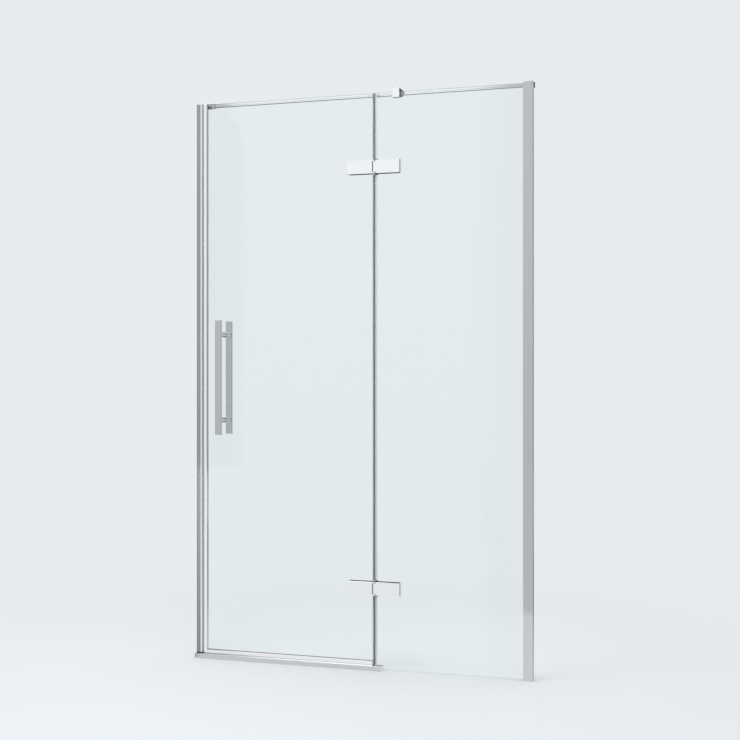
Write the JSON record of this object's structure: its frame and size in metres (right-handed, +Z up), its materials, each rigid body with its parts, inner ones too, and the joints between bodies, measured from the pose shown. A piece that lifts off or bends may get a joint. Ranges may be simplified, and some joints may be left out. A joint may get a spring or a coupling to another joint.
{
  "type": "shower door",
  "caption": "Frameless-style alcove shower door: a hinged glass leaf and a fixed glass panel between wall posts, with a threshold, a handle and a stabiliser bar.",
  "frame": {"origin": "on the tray, midway between the two walls, in the middle plane of the glass", "axes": "+X to the right as seen from the room, +Y into the shower, +Z up"},
  "size_m": [1.195, 0.104, 1.9605],
  "materials": {
    "bright_aluminium": "extruded, polished and bright anodised",
    "mill_aluminium": "plain extruded",
    "silver_plastic": "moulded, silver gloss",
    "black_plastic": "moulded, satin",
    "magnet_seal": "extruded grey vinyl around a magnet strip",
    "clear_glass": "clear toughened, edges ground",
    "clear_seal": "clear extruded vinyl",
    "black_rubber": "extruded or die-cut, matt",
    "white_nylon": "moulded",
    "stainless": "turned stainless steel",
    "chrome": "polished chrome plate on brass"
  },
  "bodies": {
    "enclosure": {"strike_wall_channel": "mill_aluminium", "strike_post": "bright_aluminium", "strike_post_cap": "silver_plastic", "strike_post_foot": "black_plastic", "strike_post_screws": "stainless", "strike_magnet_strip": "magnet_seal", "fixed_wall_channel": "mill_aluminium", "fixed_post": "bright_aluminium", "fixed_gasket_front": "black_rubber", "fixed_gasket_rear": "black_rubber", "fixed_post_cap": "silver_plastic", "fixed_post_screws": "stainless", "base_strip": "clear_seal", "threshold": "bright_aluminium", "threshold_end_cap": "silver_plastic", "fixed_glass": "clear_glass", "hinge_side_seal_lower": "clear_seal", "hinge_side_seal_middle": "clear_seal", "hinge_side_seal_upper": "clear_seal", "lower_hinge_panel_plate": "chrome", "lower_hinge_panel_clamp": "chrome", "upper_hinge_panel_plate": "chrome", "upper_hinge_panel_clamp": "chrome", "panel_hinge_gaskets": "black_rubber", "panel_hinge_screws": "stainless", "panel_glass_sleeves": "white_nylon", "hinge_bushes": "white_nylon", "stabiliser_bar": "chrome", "bar_socket_left": "chrome", "bar_socket_right": "chrome", "bar_collar": "chrome", "bar_clamp": "chrome", "bar_clamp_pads": "black_rubber", "bar_clamp_screw": "stainless", "bar_grub_screws": "stainless"},
    "door_leaf": {"door_glass": "clear_glass", "door_edge_rail": "bright_aluminium", "door_bottom_rail": "bright_aluminium", "door_magnet_strip": "magnet_seal", "door_sweep_seal": "clear_seal", "door_rail_top_cap": "silver_plastic", "door_rail_end_cap": "silver_plastic", "lower_hinge_door_plate": "chrome", "lower_hinge_door_clamp": "chrome", "upper_hinge_door_plate": "chrome", "upper_hinge_door_clamp": "chrome", "door_hinge_gaskets": "black_rubber", "door_hinge_screws": "stainless", "door_glass_sleeves": "white_nylon", "hinge_pins": "stainless", "handle_bar_outer": "chrome", "handle_bar_inner": "chrome", "handle_standoffs_outer": "chrome", "handle_standoffs_inner": "chrome", "handle_washers": "black_rubber", "handle_studs": "stainless", "handle_grub_screws": "stainless"}
  },
  "joints": [
    {"name": "door_swing", "type": "hinge", "parent": "enclosure", "child": "door_leaf", "pos_m": [0.0585, -0.011, 0.9875], "axis": [0, 0, 1], "range_deg": [0, 90]}
  ]
}
